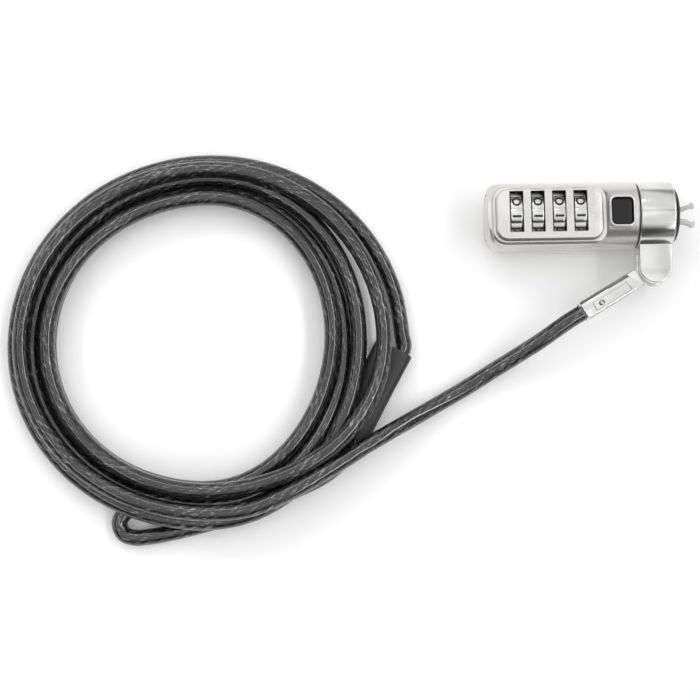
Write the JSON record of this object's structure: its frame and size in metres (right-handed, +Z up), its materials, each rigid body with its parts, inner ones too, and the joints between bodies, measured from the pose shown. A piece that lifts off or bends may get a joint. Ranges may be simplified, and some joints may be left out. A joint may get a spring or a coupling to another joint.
{
  "type": "laptop cable lock",
  "caption": "Combination lock for a laptop's security slot: cylindrical head with number dials, button-released claws and a swivelling fork on a coiled vinyl-covered steel cable.",
  "frame": {"origin": "middle of the footprint of the lock head and its cable fitting, on the surface they lie on", "axes": "+X along the head's axis, towards its claws; +Z up, out of the dials' face; the cable's coil lies towards -X"},
  "size_m": [0.2118, 0.1209, 0.0211],
  "materials": {
    "satin_nickel": "satin pearl nickel on die-cast zinc",
    "chrome_plate": "bright chrome plate on die-cast zinc",
    "steel": "plain steel",
    "brass": "plain brass",
    "black_plastic": "fine matt",
    "black_rubber": "matt",
    "vinyl_cable": "smoky clear vinyl over twisted steel wire",
    "sleeve_black": "matt shrink sleeve"
  },
  "bodies": {
    "cable_assembly": {"cable_fitting": "chrome_plate", "fitting_plate": "chrome_plate", "crimp_rivet": "steel", "cable_tail": "vinyl_cable", "cable_coil": "vinyl_cable", "cable_eye": "vinyl_cable", "loop_sleeve": "sleeve_black"},
    "collar": {"swivel_collar": "chrome_plate", "pivot_pin": "steel"},
    "lock_body": {"lock_housing": "satin_nickel", "face_plate": "satin_nickel", "end_plug": "satin_nickel", "detent_spring": "steel", "spindle_spring": "steel", "button_spring": "steel", "prong_pin_upper": "steel", "prong_pin_lower": "steel", "friction_washer": "steel", "retaining_clip": "steel", "end_pad": "black_rubber"},
    "dial_wheel_1": {"dial_1": "chrome_plate", "clutch_ring_1": "brass"},
    "dial_wheel_2": {"dial_2": "chrome_plate", "clutch_ring_2": "brass"},
    "dial_wheel_3": {"dial_3": "chrome_plate", "clutch_ring_3": "brass"},
    "dial_wheel_4": {"dial_4": "chrome_plate", "clutch_ring_4": "brass"},
    "release_button": {"button": "black_plastic"},
    "code_slide": {"spindle": "steel", "release_slider": "steel"},
    "claw_upper": {"prong_upper": "chrome_plate"},
    "claw_lower": {"prong_lower": "chrome_plate"}
  },
  "joints": [
    {"name": "fitting_pivot", "type": "hinge", "parent": "cable_assembly", "child": "collar", "pos_m": [0.0192, -0.00547, 0.0104], "axis": [0, 0, 1], "range_deg": [-148, 30]},
    {"name": "head_swivel", "type": "hinge", "parent": "collar", "child": "lock_body", "pos_m": [0.0192, 0.01103, 0.0104], "axis": [1, 0, 0], "continuous": true},
    {"name": "dial_1_spin", "type": "hinge", "parent": "lock_body", "child": "dial_wheel_1", "pos_m": [-0.0235, 0.01103, 0.0128], "axis": [1, 0, 0], "continuous": true},
    {"name": "dial_2_spin", "type": "hinge", "parent": "lock_body", "child": "dial_wheel_2", "pos_m": [-0.01705, 0.01103, 0.0128], "axis": [1, 0, 0], "continuous": true},
    {"name": "dial_3_spin", "type": "hinge", "parent": "lock_body", "child": "dial_wheel_3", "pos_m": [-0.0106, 0.01103, 0.0128], "axis": [1, 0, 0], "continuous": true},
    {"name": "dial_4_spin", "type": "hinge", "parent": "lock_body", "child": "dial_wheel_4", "pos_m": [-0.00415, 0.01103, 0.0128], "axis": [1, 0, 0], "continuous": true},
    {"name": "button_press", "type": "slide", "parent": "lock_body", "child": "release_button", "axis": [0, 0, -1], "range_m": [0, 0.0016], "stiffness_N_per_m": 500, "springref_m": -0.0015, "deforming": ["button_spring"]},
    {"name": "code_slide_draw", "type": "slide", "parent": "lock_body", "child": "code_slide", "axis": [-1, 0, 0], "range_m": [0, 0.00081], "deforming": ["spindle_spring"]},
    {"name": "claw_upper_close", "type": "hinge", "parent": "lock_body", "child": "claw_upper", "pos_m": [0.0164, 0.01293, 0.0104], "axis": [0, 0, 1], "range_deg": [-5.5, 0]},
    {"name": "claw_lower_close", "type": "hinge", "parent": "lock_body", "child": "claw_lower", "pos_m": [0.0164, 0.00913, 0.0104], "axis": [0, 0, 1], "range_deg": [0, 5.5]}
  ],
  "couplings": [
    {"joint": "code_slide_draw", "follows": "button_press", "ratio": 0.5},
    {"joint": "claw_upper_close", "follows": "button_press", "rad_per_m": -59},
    {"joint": "claw_lower_close", "follows": "button_press", "rad_per_m": 59}
  ]
}
